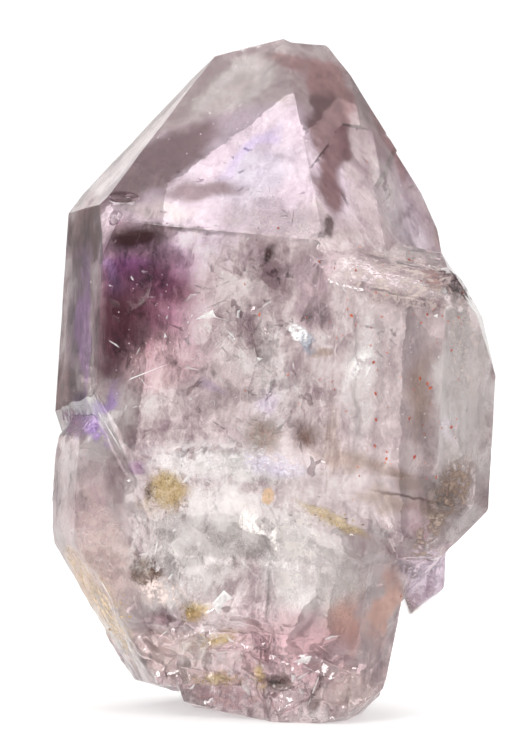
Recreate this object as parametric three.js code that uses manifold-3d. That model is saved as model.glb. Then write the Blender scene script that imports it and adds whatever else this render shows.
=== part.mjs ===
// Amethyst cluster: quartz crystals grown side by side into one piece, broken off at the foot
// and cut flat there. Millimetres, +Z up, the broadest crystal face toward -Y.
//
// Every crystal is the space inside a list of flat faces. Parallel crystals share the same face
// directions, so one set of azimuths serves them all.

import { BufferAttribute, BufferGeometry, Group, IcosahedronGeometry } from "three";
import { Matrix4, Mesh, MeshStandardMaterial, Vector3 } from "three";
import { ConvexGeometry } from "three/addons/geometries/ConvexGeometry.js";
import { mergeVertices } from "three/addons/utils/BufferGeometryUtils.js";
import Module from "manifold-3d";

// How the cluster stands: its long axis leans a little to the right and away from the viewer.
const LEAN_RIGHT = 3;
const LEAN_BACK = 5;
// How far above the crystals' origin, once they stand, the foot is cut flat.
const FOOT_CUT = 0.55;

// Directions of the six prism faces, in degrees from -Y, positive toward +X.
const FRONT = -15;
const RIGHT = 45;
const FAR_RIGHT = 105;
const BACK = 165;
const FAR_LEFT = -135;
const LEFT = -75;

// Quartz terminations: the angle the face normal makes with the level, up or down.
const TIP = 38.2;
const BUTT = -38.2;

const BOX = 60;
const SAME_POINT = 1e-4;

const radians = (degrees) => (degrees * Math.PI) / 180;

function facing(azimuth, rise) {
  const level = Math.cos(radians(rise));
  const x = level * Math.sin(radians(azimuth));
  const y = -level * Math.cos(radians(azimuth));
  return new Vector3(x, y, Math.sin(radians(rise)));
}

// An upright face at a distance from the axis x = y = 0.
function side(azimuth, distance) {
  return { normal: facing(azimuth, 0), distance };
}

// A face of any direction through a point on it.
function slope(azimuth, rise, point) {
  const normal = facing(azimuth, rise);
  return { normal, distance: normal.dot(new Vector3(...point)) };
}

// A tip or butt face that meets the upright face of the same azimuth at a height.
function cap(azimuth, rise, distance, height) {
  const normal = facing(azimuth, rise);
  const reach = Math.cos(radians(rise)) * distance + Math.sin(radians(rise)) * height;
  return { normal, distance: reach };
}

// The same face looked at from the other side.
function flipped(face) {
  return { normal: face.normal.clone().negate(), distance: -face.distance };
}

function above(height) {
  return { normal: new Vector3(0, 0, -1), distance: -height };
}

function below(height) {
  return { normal: new Vector3(0, 0, 1), distance: height };
}

const outerBox = [
  { normal: new Vector3(1, 0, 0), distance: BOX },
  { normal: new Vector3(-1, 0, 0), distance: BOX },
  { normal: new Vector3(0, 1, 0), distance: BOX },
  { normal: new Vector3(0, -1, 0), distance: BOX },
  above(-BOX),
  below(BOX),
];

// The point three faces share, or nothing when they don't meet in one.
function meet(a, b, c) {
  const bc = new Vector3().crossVectors(b.normal, c.normal);
  const volume = a.normal.dot(bc);
  if (Math.abs(volume) < 1e-6) return null;
  const point = bc.multiplyScalar(a.distance);
  point.addScaledVector(new Vector3().crossVectors(c.normal, a.normal), b.distance);
  point.addScaledVector(new Vector3().crossVectors(a.normal, b.normal), c.distance);
  return point.divideScalar(volume);
}

function cornersOf(faces) {
  const corners = [];
  const inside = (p) => faces.every((f) => f.normal.dot(p) <= f.distance + SAME_POINT);
  const isNew = (p) => corners.every((q) => q.distanceTo(p) > 10 * SAME_POINT);
  for (let i = 0; i < faces.length; i += 1) {
    for (let j = i + 1; j < faces.length; j += 1) {
      for (let k = j + 1; k < faces.length; k += 1) {
        const point = meet(faces[i], faces[j], faces[k]);
        if (point && inside(point) && isNew(point)) corners.push(point);
      }
    }
  }
  return corners;
}

const wasm = await Module();
wasm.setup();

function toSolid(geometry) {
  const bare = new BufferGeometry();
  bare.setAttribute("position", geometry.getAttribute("position"));
  if (geometry.index) bare.setIndex(geometry.index);
  const merged = mergeVertices(bare, SAME_POINT);
  const vertProperties = new Float32Array(merged.getAttribute("position").array);
  const triVerts = new Uint32Array(merged.index.array);
  return new wasm.Manifold(new wasm.Mesh({ numProp: 3, vertProperties, triVerts }));
}

// A crystal, a block or a cutter: whatever lies inside all the given faces.
function within(...faces) {
  return toSolid(new ConvexGeometry(cornersOf([...outerBox, ...faces])));
}

// A flattened ball with a shallow shell-like surface, for places where quartz broke.
function scallop([x, y, z], [width, depth, height], azimuth) {
  const ball = new IcosahedronGeometry(1, 6);
  const place = new Matrix4().makeTranslation(x, y, z);
  place.multiply(new Matrix4().makeRotationZ(radians(azimuth)));
  place.multiply(new Matrix4().makeScale(width, depth, height));
  ball.applyMatrix4(place);
  return toSolid(ball);
}

// The broad upper crystal. Its corner points come first, then the faces through them.
const shoulder = [-11.2, 0, 26.9];
const ridgeFoot = [1.47, -3.4, 28.22];
const leftRidge = [-11.13, 1.11, 30.19];
const rightRidge = [4.32, 8.32, 36.19];
const summit = [-1.29, 6.83, 40.05];
const crestEnd = [1.03, 9.1, 39.85];
const leftCorner = [-13.6, 8.97, 29.9];
const leftUnderside = [-11.2, 0, 18.6];

const head = { front: 2.9, right: 3.87, farRight: 10.93, back: 13.4, farLeft: 15.6, left: 10.82 };

const headFaces = [
  side(FRONT, head.front),
  side(RIGHT, head.right),
  side(FAR_RIGHT, head.farRight),
  side(BACK, head.back),
  cap(FAR_LEFT, 3, head.farLeft, 29.9),
  side(LEFT, head.left),
  slope(FRONT + 2, TIP, ridgeFoot),
  slope(RIGHT, TIP, ridgeFoot),
  slope(LEFT - 3, TIP, leftRidge),
  slope(FAR_RIGHT, TIP, rightRidge),
  slope(FAR_LEFT, TIP, leftCorner),
  slope(BACK, TIP, crestEnd),
  slope(-50, 13, shoulder),
  slope(70, 27.6, [8.29, 11.3, 29.57]),
  slope(70, 18.5, [9.31, 7.5, 26.7]),
  slope(LEFT + 3, -26, leftUnderside),
  cap(FRONT, BUTT, head.front, 13.6),
  cap(RIGHT, BUTT, head.right, 13),
  cap(FAR_RIGHT, BUTT, head.farRight, 14.6),
  cap(BACK, BUTT, head.back, 12.6),
  cap(FAR_LEFT, BUTT, head.farLeft, 14),
  above(8),
];

// Two growths of the same tip: one falls away to the left of the summit, the other carries
// the level crest to its right.
function headCrystal() {
  const leftGrowth = within(...headFaces, slope(BACK + 30, TIP, summit));
  const rightGrowth = within(...headFaces, slope(FAR_LEFT, TIP, crestEnd));
  return leftGrowth.add(rightGrowth);
}

// Below a slanting growth step the upper right tip face falls back toward the right.
function tipSteps() {
  const fromLeft = slope(-90, 32, [0.65, 0, 32.7]);
  const fromAbove = slope(90, 85, [2.2, 0, 35.1]);
  const fallen = slope(RIGHT + 7, 36, ridgeFoot);
  const bevel = slope(FRONT + 90, 40.3, [6.23, 10.1, 33.26]);
  const terrace = slope(70, 27.6, [8.05, 11.2, 29.4]);
  return [
    within(flipped(fallen), fromLeft, fromAbove, above(24)),
    within(flipped(bevel), fromAbove, above(20)),
    within(flipped(terrace), slope(40, 60, [5.5, 2, 30.2]), above(23)),
  ];
}

// The shorter crystal on the right, pointed below and ending above in a level growth ledge.
const companion = { front: 3.3, right: 10.17, farRight: 10.67, back: 4.6, farLeft: 5, left: -1.3 };

function rightCrystal() {
  return within(
    side(FRONT, companion.front),
    side(RIGHT, companion.right),
    side(FAR_RIGHT, companion.farRight),
    side(BACK, companion.back),
    side(FAR_LEFT, companion.farLeft),
    side(LEFT, companion.left),
    slope(21, 74.4, [2.48, -4.08, 26.81]),
    slope(85, 36.7, [10.26, 2.9, 25.47]),
    slope(85, 18.6, [11.75, -2.6, 20.99]),
    slope(10, -78, [8, -3, 10.4]),
    cap(FRONT, BUTT, companion.front, 13.75),
    cap(RIGHT, BUTT, companion.right, 13.4),
    cap(FAR_RIGHT, BUTT, companion.farRight, 13.2),
    cap(BACK, BUTT, companion.back, 13),
  );
}

// The lower left crystal: a smooth front-left face under the overhang of the upper one.
const lowerLeft = { front: 1.7, left: 11.3, farLeft: 14.6, back: 11.6 };
const lowerLeftEdge = [-11.81, 1.4, 9.77];

function lowerLeftCrystal() {
  return within(
    side(FRONT, lowerLeft.front),
    side(LEFT, lowerLeft.left),
    side(FAR_LEFT, lowerLeft.farLeft),
    side(BACK, lowerLeft.back),
    side(RIGHT, 1),
    side(FAR_RIGHT, 0),
    cap(LEFT, TIP, lowerLeft.left, 16.2),
    cap(FAR_LEFT, TIP, lowerLeft.farLeft, 16),
    slope(LEFT, -32, lowerLeftEdge),
    cap(FRONT, BUTT, lowerLeft.front, 5.6),
    cap(FAR_LEFT, BUTT, lowerLeft.farLeft, 9.4),
    cap(BACK, BUTT, lowerLeft.back, 6),
    below(19),
    above(3),
  );
}

// The stem under the right half, tapering a little toward the foot.
const stem = { front: 1.9, right: 5.87, farRight: 6.79, back: 10.8, left: 0.7 };

function stemCrystal() {
  return within(
    side(FRONT, stem.front),
    cap(RIGHT, -5, stem.right, 9),
    cap(FAR_RIGHT, -9, stem.farRight, 9),
    cap(BACK, -8, stem.back, 9),
    side(LEFT, stem.left),
    below(16),
    above(-4),
  );
}

// The thick middle between them, proud of the stem by a narrow upright step.
function middleCrystal() {
  return within(
    side(FRONT, 2.5),
    side(RIGHT, 1.19),
    side(FAR_RIGHT, 6),
    side(BACK, 11),
    side(FAR_LEFT, 13),
    slope(LEFT + 3, -26, leftUnderside),
    cap(FRONT, BUTT, 2.5, 6.4),
    below(18),
    above(3),
  );
}

// A wedge of the upper growth hangs over the stem and ends in a slanting ledge.
function ledgeWedge() {
  return within(
    side(FRONT, 2.8),
    side(RIGHT, 6.4),
    side(LEFT, 0.9),
    side(BACK, 3),
    slope(-60, -50, [0.3, -2.98, 12.8]),
    cap(RIGHT, BUTT, 6.4, 10.4),
    below(15.5),
    above(6),
  );
}

// The small paler crystal behind the stem on the right, its point hanging down.
const small = { front: -4.4, right: 4.75, farRight: 9.96, back: 7.5, farLeft: -0.8, left: -6.9 };

function smallCrystal() {
  return within(
    side(FRONT, small.front),
    side(RIGHT, small.right),
    side(FAR_RIGHT, small.farRight),
    side(BACK, small.back),
    side(FAR_LEFT, small.farLeft),
    side(LEFT, small.left),
    cap(FRONT, BUTT, small.front, 8),
    slope(80, -50, [9.46, 3, 8.4]),
    cap(BACK, BUTT, small.back, 8.2),
    slope(-85, -25, [7.5, 3, 7.3]),
    below(15.5),
    above(4),
  );
}

// The broken mass of the foot, set back behind the crystals it carries.
function foot() {
  return within(
    slope(FRONT, -4, [-4, -0.2, 5]),
    slope(LEFT, -32, lowerLeftEdge),
    slope(FAR_LEFT, -24, [-9.4, 9, 7]),
    slope(BACK, -9, [-2, 12.4, 6]),
    cap(FAR_RIGHT, -9, stem.farRight - 0.3, 9),
    cap(RIGHT, -5, stem.right - 0.3, 9),
    below(9),
    above(-4),
  );
}

// What is missing under the foot: it rises to both sides of the part it stands on.
function undercuts() {
  const toLeft = slope(-72, -78.5, [1.66, -2.4, 0.09]);
  const farLeft = slope(-75, -83, [-5.74, 0.5, 2.03]);
  const toRight = slope(60, -70, [2.5, -2.6, 0.4]);
  const corner = slope(80, -45, [6.1, 0, 2.3]);
  const stepped = slope(70, 20, [-5.6, 0, 1.9]);
  return [
    within(flipped(toLeft)),
    within(flipped(farLeft), stepped),
    within(flipped(toRight)),
    within(flipped(corner)),
  ];
}

// Hollows left by shell-like breaks, the larger ones at the foot.
function fractures() {
  return [
    scallop([-6.8, -1.1, 3.4], [3.2, 2.0, 1.8], -12),
    scallop([-2.2, -2.6, 2.4], [2.8, 1.7, 1.3], -18),
    scallop([3.9, -4.3, 3.9], [1.7, 1.6, 1.1], -10),
    scallop([7.6, -2.4, 2.2], [2.2, 2.0, 1.8], 40),
    scallop([-7.4, 12.6, 2.6], [5, 3.6, 4.4], -30),
    scallop([5.8, 12.2, 3.2], [4.6, 3.4, 5.2], 25),
    scallop([-13.2, 3.2, 5.4], [2.6, 3.4, 2.2], -75),
  ];
}

// Small bruises along the sharp edges of the tip faces.
function chips() {
  return [
    scallop([-10.3, 0.75, 30.25], [1.0, 0.6, 0.4], -13),
    scallop([-10.7, 0.1, 29.0], [0.55, 0.45, 0.5], 10),
    scallop([1.35, -3.3, 28.75], [0.3, 0.4, 0.7], 30),
    scallop([9.0, -5.6, 26.0], [0.8, 0.5, 0.45], 15),
  ];
}

// A splinter left standing on the broken foot: a low wedge with slanting ends.
function splinter([x, y, z], [long, proud, thick], azimuth, lean) {
  const out = facing(azimuth, 0);
  const along = facing(azimuth + 90, lean);
  const at = (direction, distance) => {
    const p = new Vector3(x, y, z).addScaledVector(direction, distance);
    return [p.x, p.y, p.z];
  };
  return within(
    slope(azimuth - 6, 14, at(out, proud)),
    slope(azimuth + 180, 0, at(out, -2)),
    slope(azimuth + 52, lean, at(along, long / 2)),
    slope(azimuth - 64, -lean, at(along, -long / 2)),
    slope(azimuth + 90, lean + 80, [x, y, z + thick / 2]),
    slope(azimuth + 70, lean - 96, [x, y, z - thick / 2]),
  );
}

function splinters() {
  return [
    splinter([2.9, -2.7, 3.7], [2.8, 0.5, 0.8], FRONT, -14),
    splinter([-2.4, -0.9, 4.9], [3.6, 0.9, 0.9], FRONT + 8, 12),
    splinter([-0.6, -1.6, 3.4], [3.0, 0.7, 0.7], FRONT - 10, -12),
    splinter([-4.9, -0.2, 5.5], [3.0, 0.8, 1.2], FRONT - 6, 26),
    splinter([-3.4, -0.2, 2.7], [3.4, 0.6, 0.8], FRONT + 14, 8),
    splinter([1.2, -2.0, 1.9], [2.6, 0.6, 1.2], FRONT, 34),
    splinter([-7.6, 0.9, 4.4], [2.4, 0.5, 0.9], FRONT - 20, -30),
  ];
}

// Turns the crystals' frame to the way the cluster stands.
function standing() {
  const right = radians(LEAN_RIGHT);
  const back = radians(LEAN_BACK);
  const up = new Vector3(0, Math.sin(back), Math.cos(back));
  const away = new Vector3(0, Math.cos(back), -Math.sin(back));
  const along = up.clone().multiplyScalar(Math.cos(right));
  along.x += Math.sin(right);
  const across = up.clone().multiplyScalar(-Math.sin(right));
  across.x += Math.cos(right);
  return new Matrix4().makeBasis(across, away, along);
}

function toGeometry(solid) {
  const { vertProperties, triVerts } = solid.getMesh();
  const geometry = new BufferGeometry();
  geometry.setAttribute("position", new BufferAttribute(new Float32Array(vertProperties), 3));
  geometry.setIndex(new BufferAttribute(new Uint32Array(triVerts), 1));
  return geometry;
}

function sum(solids) {
  return solids.reduce((whole, next) => whole.add(next));
}

function cluster() {
  const upper = headCrystal().subtract(sum(tipSteps()));
  const grown = sum([
    upper,
    rightCrystal(),
    lowerLeftCrystal(),
    stemCrystal(),
    middleCrystal(),
    ledgeWedge(),
    smallCrystal(),
    foot(),
  ]);
  const broken = grown.subtract(sum([...fractures(), ...chips()]));
  return broken.add(sum(splinters())).subtract(sum(undercuts()));
}

function cutFlat(geometry) {
  const below = within({ normal: new Vector3(0, 0, 1), distance: FOOT_CUT });
  const flat = toGeometry(toSolid(geometry).subtract(below));
  flat.computeBoundingBox();
  const { min, max } = flat.boundingBox;
  flat.translate(-(min.x + max.x) / 2, -(min.y + max.y) / 2, -min.z);
  return flat;
}

const amethyst = new MeshStandardMaterial({ color: 0xcdb9cf, roughness: 0.12, metalness: 0 });

const geometry = toGeometry(cluster());
geometry.applyMatrix4(standing());
const piece = new Mesh(cutFlat(geometry), amethyst);
piece.name = "amethyst_cluster";

const part = new Group();
part.name = "amethyst_cluster_part";
part.add(piece);

export default part;
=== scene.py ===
import random
from math import cos, pi, radians, sin

import bmesh
import bpy
import numpy
from mathutils import Euler, Matrix, Vector, noise
from mathutils.bvhtree import BVHTree


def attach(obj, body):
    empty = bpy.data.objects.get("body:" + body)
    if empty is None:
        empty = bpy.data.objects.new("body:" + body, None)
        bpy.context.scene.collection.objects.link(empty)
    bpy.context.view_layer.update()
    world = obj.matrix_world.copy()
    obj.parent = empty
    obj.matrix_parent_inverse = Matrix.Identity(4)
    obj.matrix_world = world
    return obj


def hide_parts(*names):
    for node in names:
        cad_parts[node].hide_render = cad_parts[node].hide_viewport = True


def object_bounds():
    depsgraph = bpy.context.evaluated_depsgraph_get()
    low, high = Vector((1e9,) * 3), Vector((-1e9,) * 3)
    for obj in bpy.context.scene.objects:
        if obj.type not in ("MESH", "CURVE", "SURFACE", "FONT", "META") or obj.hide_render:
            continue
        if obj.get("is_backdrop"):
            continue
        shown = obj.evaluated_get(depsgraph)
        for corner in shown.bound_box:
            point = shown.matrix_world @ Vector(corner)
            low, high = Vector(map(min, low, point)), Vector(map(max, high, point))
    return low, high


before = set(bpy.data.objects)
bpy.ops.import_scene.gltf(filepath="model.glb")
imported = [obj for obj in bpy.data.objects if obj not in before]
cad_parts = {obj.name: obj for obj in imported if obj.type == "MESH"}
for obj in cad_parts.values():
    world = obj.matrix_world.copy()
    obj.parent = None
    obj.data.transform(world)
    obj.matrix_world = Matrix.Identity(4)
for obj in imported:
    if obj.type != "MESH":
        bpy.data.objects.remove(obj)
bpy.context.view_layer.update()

MM = 0.001
scene = bpy.context.scene
scene.view_settings.view_transform = "Standard"
scene.cycles.max_bounces = 16
scene.cycles.transmission_bounces = 13
scene.cycles.transparent_max_bounces = 14
scene.cycles.caustics_refractive = True
scene.cycles.caustics_reflective = False
scene.cycles.use_light_tree = False

# The camera: a long lens a little above level, square to the broadest crystal face.
CAMERA_RISE = radians(5)
CAMERA_FAR = 0.6
PICTURE_HIGH = 43.73 * MM
AIM = Vector((-0.268, 0, 19.33)) * MM

camera = bpy.data.objects.new("camera", bpy.data.cameras.new("camera"))
scene.collection.objects.link(camera)
camera.data.sensor_width = 36
camera.data.lens = 36 * CAMERA_FAR / PICTURE_HIGH
camera.data.clip_end = 20
camera.location = AIM + Vector((0, -cos(CAMERA_RISE), sin(CAMERA_RISE))) * CAMERA_FAR
camera.rotation_euler = (pi / 2 - CAMERA_RISE, 0, 0)
scene.camera = camera

# The table: a wide pale sheet lit a little from below, as a light table is, and bright enough
# to run into the background.
FLOOR_WIDE = 0.16
PAPER = (0.7, 0.7, 0.7, 1)
PAPER_GLOW = 0.42


def feed(tree, socket, value):
    """Gives an input a value, or links it to what another node puts out."""
    if isinstance(value, bpy.types.NodeSocket):
        tree.links.new(value, socket)
    else:
        socket.default_value = value


def dress(material, **values):
    """Feeds the inputs of a material's surface, each by its name."""
    tree = material.node_tree
    for key, value in values.items():
        feed(tree, tree.nodes["Principled BSDF"].inputs[key.replace("_", " ")], value)


def new_material(name, **values):
    made = bpy.data.materials.new(name)
    made.use_nodes = True
    dress(made, **values)
    return made


floor_bm = bmesh.new()
bmesh.ops.create_circle(floor_bm, cap_ends=True, segments=96, radius=FLOOR_WIDE)
floor_mesh = bpy.data.meshes.new("floor")
floor_bm.to_mesh(floor_mesh)
floor_bm.free()
floor = bpy.data.objects.new("floor", floor_mesh)
scene.collection.objects.link(floor)
floor_mesh.materials.append(new_material(
    "floor paper", Base_Color=PAPER, Roughness=0.9, Specular_IOR_Level=0.1,
    Emission_Color=(1, 1, 1, 1), Emission_Strength=PAPER_GLOW,
))
floor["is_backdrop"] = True

# The light tent: a bright panel on each of the four sides and a dim gap between them, so that
# the clear edges show dark against white. The camera itself sees plain white.
TENT_DIM = 0.26
TENT_BRIGHT = 0.95
ROOF_BRIGHT = 1.25
SEEN_BY_CAMERA = 1.1


def node(tree, kind, **values):
    """A new node; each value is a setting of it, or is fed to its input of that name."""
    made = tree.nodes.new("ShaderNode" + kind)
    for key, value in values.items():
        if hasattr(made, key):
            setattr(made, key, value)
        else:
            feed(tree, made.inputs[key.replace("_", " ")], value)
    return made


def worked_out(tree, kind, operation, *values, **more):
    """A node of arithmetic whose inputs are fed in order."""
    made = node(tree, kind, operation=operation, **more)
    for socket, value in zip(made.inputs, values):
        feed(tree, socket, value)
    return made


def maths(tree, operation, *values, **more):
    return worked_out(tree, "Math", operation, *values, **more).outputs[0]


def band(tree, value, start, end, top, bottom=0):
    """Goes from bottom to top, with soft ends, while the value goes from start to end."""
    return node(
        tree, "MapRange", interpolation_type="SMOOTHSTEP", Value=value,
        From_Min=start, From_Max=end, To_Min=bottom, To_Max=top,
    ).outputs[0]


tent = bpy.data.worlds.new("light tent")
scene.world = tent
tent.use_nodes = True
air = tent.node_tree
air.nodes.clear()
toward = node(air, "SeparateXYZ", Vector=node(air, "TexCoord").outputs["Generated"])
panels = [
    band(air, maths(air, "ABSOLUTE", toward.outputs[axis]), 0.88, 0.97, TENT_BRIGHT, TENT_DIM)
    for axis in ("X", "Y")
]
roof = band(air, toward.outputs["Z"], 0.45, 0.8, ROOF_BRIGHT)
all_round = maths(air, "MAXIMUM", maths(air, "MAXIMUM", *panels), roof)
tent_light = node(air, "Background", Color=(1, 0.99, 0.98, 1), Strength=all_round)
seen = node(air, "Background", Color=(1, 1, 1, 1), Strength=SEEN_BY_CAMERA)
either = node(air, "MixShader", Fac=node(air, "LightPath").outputs["Is Camera Ray"])
air.links.new(tent_light.outputs[0], either.inputs[1])
air.links.new(seen.outputs[0], either.inputs[2])
node(air, "OutputWorld", Surface=either.outputs[0])

overhead = bpy.data.lights.new("overhead light", "SUN")
overhead.energy = 1.5
overhead.angle = radians(45)
overhead_holder = bpy.data.objects.new("overhead light", overhead)
scene.collection.objects.link(overhead_holder)
overhead_holder.rotation_euler = (radians(-24), radians(4), 0)


def softbox(name, place, aim, wide, watts):
    lamp = bpy.data.lights.new(name, "AREA")
    lamp.shape = "DISK"
    lamp.size = wide
    lamp.energy = watts
    holder = bpy.data.objects.new(name, lamp)
    scene.collection.objects.link(holder)
    holder.location = place
    holder.rotation_euler = (Vector(aim) - Vector(place)).to_track_quat("-Z", "Y").to_euler()


softbox("left softbox", (-0.45, -0.45, 0.3), (0, 0, 0.02), 0.2, 1.4)
softbox("right softbox", (0.5, -0.4, 0.35), (0, 0, 0.02), 0.15, 0.8)

# The crystals: clear to milky quartz grown side by side into one piece. Every face here is a
# real growth face or a break; the growth faces carry low hillocks and cross lines, the foot is
# shell-like break. Fine open cracks inside are part of the same piece.
LEAN_RIGHT = radians(3)
LEAN_BACK = radians(5)
CRYSTALS_STAND_AT = Vector((0.1074, -6.7235, -0.55))
CELL = 0.9
FINE_CELL = 0.4
EDGE_WEAR = 0.03
FAR_IN_FRONT = -40


def standing():
    up = Vector((0, sin(LEAN_BACK), cos(LEAN_BACK)))
    away = Vector((0, cos(LEAN_BACK), -sin(LEAN_BACK)))
    along = up * cos(LEAN_RIGHT) + Vector((sin(LEAN_RIGHT), 0, 0))
    across = up * -sin(LEAN_RIGHT) + Vector((cos(LEAN_RIGHT), 0, 0))
    turn = Matrix((across, away, along)).transposed().to_4x4()
    return Matrix.Translation(CRYSTALS_STAND_AT * MM) @ turn @ Matrix.Scale(MM, 4)


GROWN = standing()
UNGROWN = GROWN.inverted()


def merged_copy(name):
    bm = bmesh.new()
    bm.from_mesh(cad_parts[name].data)
    bmesh.ops.remove_doubles(bm, verts=bm.verts, dist=0.002 * MM)
    bmesh.ops.transform(bm, matrix=UNGROWN, verts=bm.verts)
    return bm


def wear_edges(bm, wear, sharper_than, longer_than):
    worn = [
        e
        for e in bm.edges
        if len(e.link_faces) == 2
        and e.calc_face_angle() > sharper_than
        and e.calc_length() > longer_than
    ]
    bmesh.ops.bevel(
        bm, geom=worn, offset=wear, offset_type="OFFSET", segments=1, profile=0.5,
        affect="EDGES", material=-1, clamp_overlap=True,
    )


def slice_into_cells(bm, cell):
    for axis in range(3):
        places = [v.co[axis] for v in bm.verts]
        at = min(places) + cell
        normal = Vector((0, 0, 0))
        normal[axis] = 1
        while at < max(places):
            point = Vector((0, 0, 0))
            point[axis] = at
            crossing = [
                f for f in bm.faces
                if min(v.co[axis] for v in f.verts) < at < max(v.co[axis] for v in f.verts)
            ]
            edges = {e for f in crossing for e in f.edges}
            verts = {v for f in crossing for v in f.verts}
            bmesh.ops.bisect_plane(
                bm, geom=[*verts, *edges, *crossing], dist=0.002, plane_co=point, plane_no=normal
            )
            at += cell


def split_long_edges(bm, longest, rounds):
    for _ in range(rounds):
        long = [e for e in bm.edges if e.calc_length() > longest]
        bmesh.ops.subdivide_edges(bm, edges=long, cuts=1)
        bmesh.ops.triangulate(bm, faces=[f for f in bm.faces if len(f.verts) > 3])


def break_relief(p):
    """Shell-like hollows and ridges of a broken quartz surface, in mm."""
    near = noise.voronoi(p * 0.5 + noise.noise_vector(p * 0.5) * 0.7)[0]
    fine = noise.voronoi(p * 1.3)[0]
    return near[0] * 0.45 + (near[1] - near[0]) * 0.12 + (fine[1] - fine[0]) * 0.08 - 0.24


def growth_relief(p):
    """Low hillocks and cross lines of a growth face, in mm."""
    hillocks = noise.noise(p * 0.45) * 0.03 + noise.noise(p * 1.3) * 0.01
    lines = noise.noise(Vector((p.x * 0.25, p.y * 0.25, p.z * 2.6))) * 0.008
    return hillocks + lines


def smooth_between(low, high, x):
    t = min(1, max(0, (x - low) / (high - low)))
    return t * t * (3 - 2 * t)


def roughen(bm):
    bm.normal_update()
    moves = []
    for v in bm.verts:
        p = v.co
        ragged = 7.2 + 1.6 * noise.noise(p * 0.35) + 3.6 * smooth_between(-9, -11.5, p.x)
        ragged -= 2.4 * smooth_between(-0.5, 1.5, p.x)
        height = p.z + abs(p.x) * (0.45 if p.x > 0 else 0.25)
        broken = 1 - smooth_between(ragged - 1.0, ragged + 0.6, height)
        broken *= 1 - smooth_between(6.9, 7.5, p.x)
        lift = growth_relief(p) * (1 - broken) + break_relief(p) * broken
        lift *= smooth_between(0.0, 0.5, (GROWN @ p).z / MM)
        moves.append(v.normal * lift)
    for v, move in zip(bm.verts, moves):
        v.co += move


# Steps on the front that growth has filled to gentle swells: from and to, across and up, and
# the reach to each side.
SWELLS = [
    ((2.3, 11.0), (2.3, 27.5), 1.8),
    ((-5.5, 13.2), (7.0, 13.2), 2.0),
    ((0.6, 2.5), (0.6, 12.6), 1.6),
    ((2.6, 27.0), (9.0, 25.8), 1.3),
    ((-7.9, 12.4), (-4.8, 7.0), 1.8),
]
# Corners that are etched round: from and to, the reach, how far back, rounds of smoothing.
ROUNDED = [
    ((-10.4, 16.6), (-6.2, 12.6), 1.0, 1, 20),
    ((-13.4, 16.6), (-10.6, 17.4), 1.6, 8, 30),
    ((-12.6, 14.5), (-12.6, 10.0), 1.8, 8, 16),
    ((-12.6, 11.0), (-8.4, 3.6), 1.8, 8, 24),
    ((8.6, 10.4), (8.6, 7.4), 2.0, 8, 6),
]


def met_from_front(faces, x, z):
    """Where a line drawn from far in front first meets the faces, at a place across and up."""
    return faces.ray_cast(Vector((x, FAR_IN_FRONT, z)), Vector((0, 1, 0)))[0]


def near_line(bm, start, end, reach):
    """The vertices near a line drawn on the front, with their distances from it."""
    along = end - start
    for v in bm.verts:
        p = Vector((v.co.x, v.co.z))
        t = min(1, max(0, (p - start).dot(along) / along.length_squared))
        off = (start + along * t - p).length
        if off < reach:
            yield v, off


def swell_steps(bm):
    for start, end, reach in SWELLS:
        before = BVHTree.FromBMesh(bm)
        start, end = Vector(start), Vector(end)
        side = (end - start).orthogonal().normalized()
        moves = []
        for v, off in near_line(bm, start, end, reach):
            depths = []
            for n in range(-4, 5):
                beside = side * (reach * n / 5)
                met = met_from_front(before, v.co.x + beside.x, v.co.z + beside.y)
                if met is not None:
                    depths.append(met.y)
            if depths and abs(v.co.y - min(depths, key=lambda d: abs(d - v.co.y))) < 0.5:
                share = 1 - smooth_between(0.6 * reach, reach, off)
                moves.append((v, sum(depths) / len(depths), share))
        for v, depth, share in moves:
            v.co.y += (depth - v.co.y) * share


def round_off(bm):
    for start, end, reach, back, rounds in ROUNDED:
        near = [
            (v, 0.5 - 0.5 * smooth_between(0.4 * reach, reach, off))
            for v, off in near_line(bm, Vector(start), Vector(end), reach)
            if v.co.y < back
        ]
        for _ in range(rounds):
            moves = []
            for v, share in near:
                others = [e.other_vert(v).co for e in v.link_edges]
                moves.append((sum(others, Vector()) / len(others) - v.co) * share)
            for (v, share), move in zip(near, moves):
                v.co += move


def open_crack(bm, place, wide, high, thick, turn, seed):
    """A crack: a thin angular gap with a bent middle, whose wall faces into the gap."""
    made = bmesh.ops.create_icosphere(bm, subdivisions=2, radius=1)["verts"]
    for v in made:
        around = v.co.xy.normalized() if v.co.xy.length > 0.01 else v.co.xy
        ragged = 1 + 0.9 * noise.cell(Vector((around.x * 1.3, around.y * 1.3, seed))) - 0.45
        bend = noise.noise(Vector((v.co.x * 0.9, v.co.y * 0.9, seed))) * wide * 0.22
        v.co = Vector((v.co.x * ragged * wide, v.co.y * ragged * high, v.co.z * thick + bend))
    settle = Matrix.Translation(place) @ turn.to_matrix().to_4x4()
    for v in made:
        v.co = settle @ v.co


crystal_bm = merged_copy("amethyst_cluster")
bmesh.ops.dissolve_limit(
    crystal_bm, angle_limit=radians(0.4), verts=crystal_bm.verts, edges=crystal_bm.edges
)
wear_edges(crystal_bm, EDGE_WEAR, radians(14), 0.5)
slice_into_cells(crystal_bm, CELL)
bmesh.ops.triangulate(crystal_bm, faces=crystal_bm.faces)
split_long_edges(crystal_bm, FINE_CELL, 2)
swell_steps(crystal_bm)
round_off(crystal_bm)
roughen(crystal_bm)
skin = BVHTree.FromBMesh(crystal_bm)


def surface_at(x, z):
    """How far back the front of the quartz is at a place across and up it, in mm."""
    met = met_from_front(skin, x, z)
    if met is None:
        met = skin.find_nearest(Vector((x, 0, z)))[0]
    return met.y


def spot(x, z, deep=0):
    """The point behind the front of the quartz at a place across and up it."""
    return Vector((x, surface_at(x, z) + deep, z))


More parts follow.
